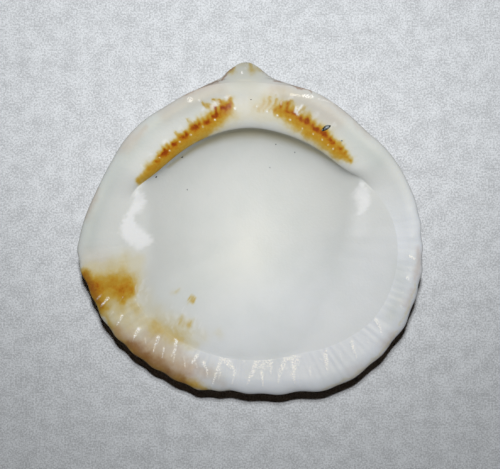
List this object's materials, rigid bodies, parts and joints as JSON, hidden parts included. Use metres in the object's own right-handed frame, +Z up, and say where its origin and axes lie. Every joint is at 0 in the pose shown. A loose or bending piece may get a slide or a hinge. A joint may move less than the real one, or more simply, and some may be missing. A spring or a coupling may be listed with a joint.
{
  "type": "bivalve shell",
  "caption": "Single valve of a comb bittersweet clam, lying on its ribbed convex back with the white hollow, arched hinge plate and toothed margin facing up.",
  "frame": {"origin": "middle of the small flat spot on the convex back that the valve rests on", "axes": "+Z up out of the hollow, +Y towards the hinge and the umbo, +X along the hinge; the plane of the rim is tilted 7 degrees, lowest at the ventral edge, as the valve lies"},
  "size_m": [0.0251, 0.0242, 0.0081],
  "materials": {
    "shell": "satin"
  },
  "bodies": {
    "root": {"valve": "shell"}
  },
  "joints": []
}
